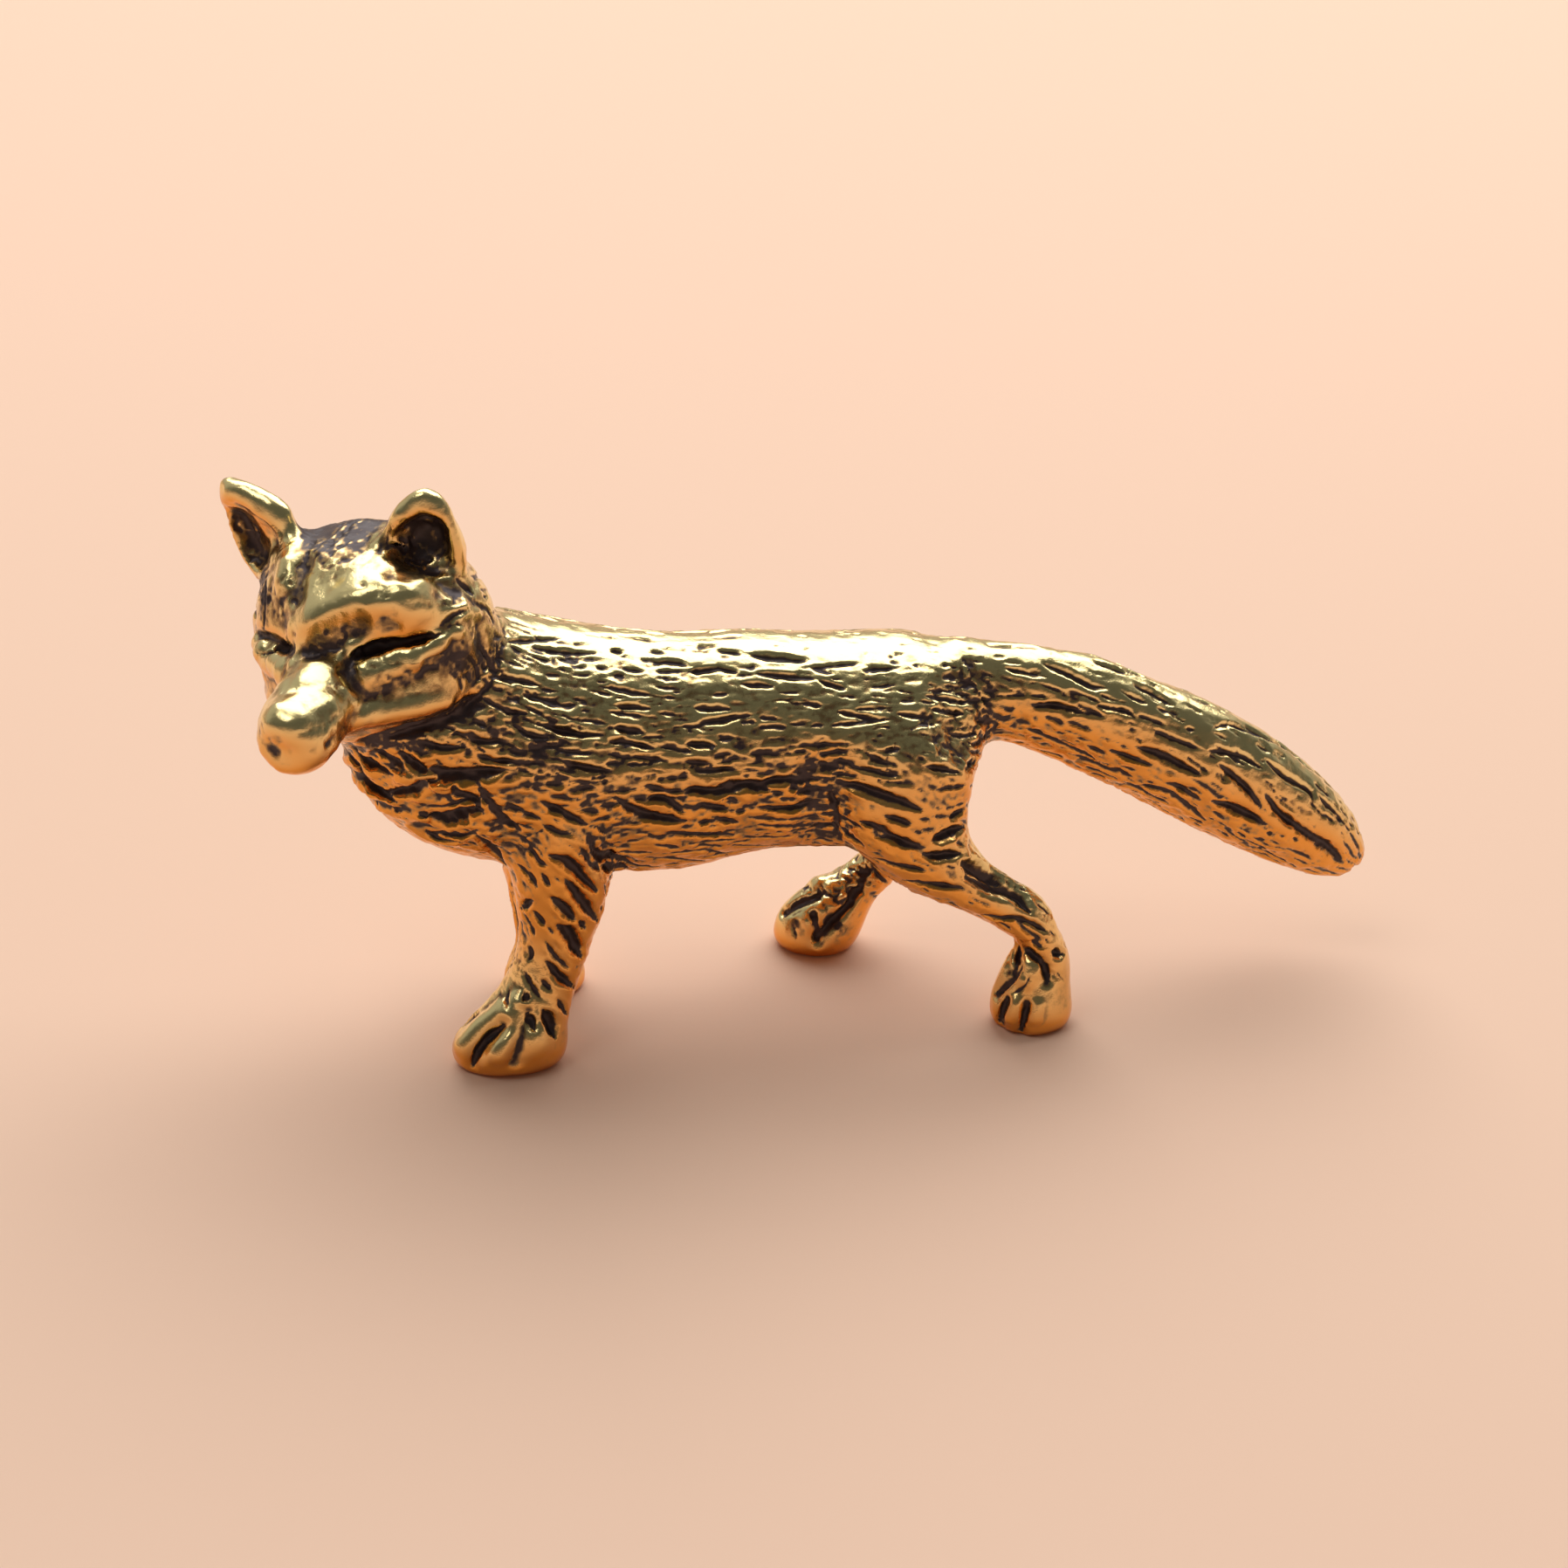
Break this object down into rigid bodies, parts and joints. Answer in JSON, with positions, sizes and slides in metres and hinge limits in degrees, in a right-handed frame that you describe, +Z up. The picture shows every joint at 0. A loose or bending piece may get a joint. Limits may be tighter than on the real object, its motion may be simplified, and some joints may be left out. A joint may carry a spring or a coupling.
{
  "type": "fox figurine",
  "caption": "Small solid brass figurine of a walking fox with its head turned to its left, standing on flat soles, for display on a shelf or desk.",
  "frame": {"origin": "centre of the figurine's bounding box seen from above, on the plane that its four soles stand on", "axes": "+Z up, -X towards the fox's chest and muzzle, +X towards the tip of its tail, -Y towards its left flank"},
  "size_m": [0.058, 0.0156, 0.0296],
  "materials": {
    "antique_brass": "antiqued brass: polished high spots over a dark brown patina in the grooves"
  },
  "bodies": {
    "root": {"torso": "antique_brass", "head": "antique_brass", "left_ear": "antique_brass", "right_ear": "antique_brass", "tail": "antique_brass", "front_left_leg": "antique_brass", "front_right_leg": "antique_brass", "hind_left_leg": "antique_brass", "hind_right_leg": "antique_brass"}
  },
  "joints": []
}
